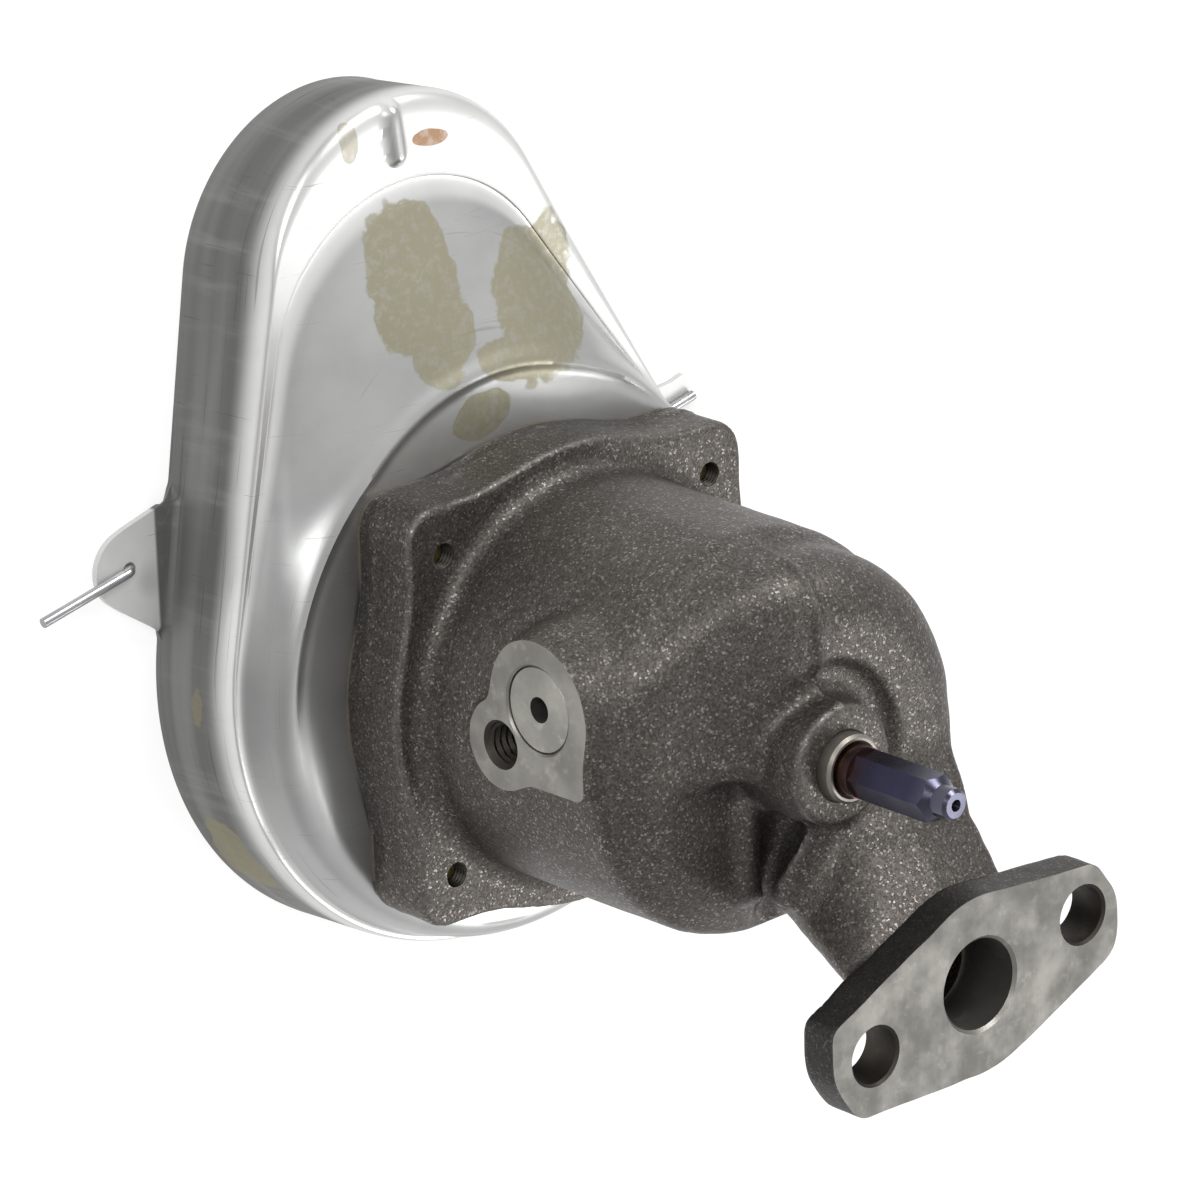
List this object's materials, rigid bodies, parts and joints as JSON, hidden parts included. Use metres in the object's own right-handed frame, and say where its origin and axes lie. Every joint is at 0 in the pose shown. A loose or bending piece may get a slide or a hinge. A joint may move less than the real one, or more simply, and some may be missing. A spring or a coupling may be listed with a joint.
{
  "type": "engine oil pump",
  "caption": "Cast-iron rotor oil pump with a two-bolt outlet flange, hexagonal drive shaft, relief valve and a teardrop stamped pickup hood over its strainer.",
  "frame": {"origin": "centre of the outlet port on the outlet flange's mounting face", "axes": "+Z out of the outlet port along the drive shaft, towards the engine block; +Y from the port towards the drive shaft and the hood's narrow end; the relief valve's plug faces -X"},
  "size_m": [0.157, 0.1663, 0.1412],
  "materials": {
    "cast_iron": "blasted as-cast skin with machined faces",
    "tempered_steel": "blue tempered, satin",
    "sintered_bush": "machined",
    "sintered_steel": "ground",
    "bright_steel": "turned",
    "spring_steel": "drawn wire",
    "zinc_yellow": "yellow zinc plate",
    "rubber": "matte",
    "gasket_paper": "oiled gasket paper",
    "hood_sheet": "cold-rolled sheet, satin, with dried oil film",
    "screen_wire": "woven wire"
  },
  "bodies": {
    "housing": {"pump_body": "cast_iron", "shaft_bush": "sintered_bush", "relief_spring": "spring_steel", "relief_plug": "bright_steel", "cover_plate": "cast_iron", "cover_seal": "rubber", "hood_gasket": "gasket_paper", "cover_bolts": "zinc_yellow", "bolt_washers": "zinc_yellow", "pickup_hood": "hood_sheet", "strainer_frame": "hood_sheet", "strainer_screen": "screen_wire", "strainer_clip": "spring_steel"},
    "drive": {"drive_shaft": "tempered_steel", "rotor_pin": "bright_steel", "inner_rotor": "sintered_steel"},
    "idler": {"outer_rotor": "sintered_steel"},
    "plunger": {"relief_plunger": "bright_steel"}
  },
  "joints": [
    {"name": "shaft_spin", "type": "hinge", "parent": "housing", "child": "drive", "pos_m": [-0.0131, 0.0396, -0.05], "axis": [0, 0, 1], "continuous": true},
    {"name": "outer_rotor_spin", "type": "hinge", "parent": "housing", "child": "idler", "pos_m": [-0.0131, 0.0428, -0.09], "axis": [0, 0, 1], "continuous": true},
    {"name": "relief_slide", "type": "slide", "parent": "housing", "child": "plunger", "axis": [-1, 0, 0], "range_m": [0, 0.01], "stiffness_N_per_m": 4000, "springref_m": -0.006, "deforming": ["relief_spring"]}
  ],
  "couplings": [
    {"joint": "outer_rotor_spin", "follows": "shaft_spin", "ratio": 0.8}
  ]
}
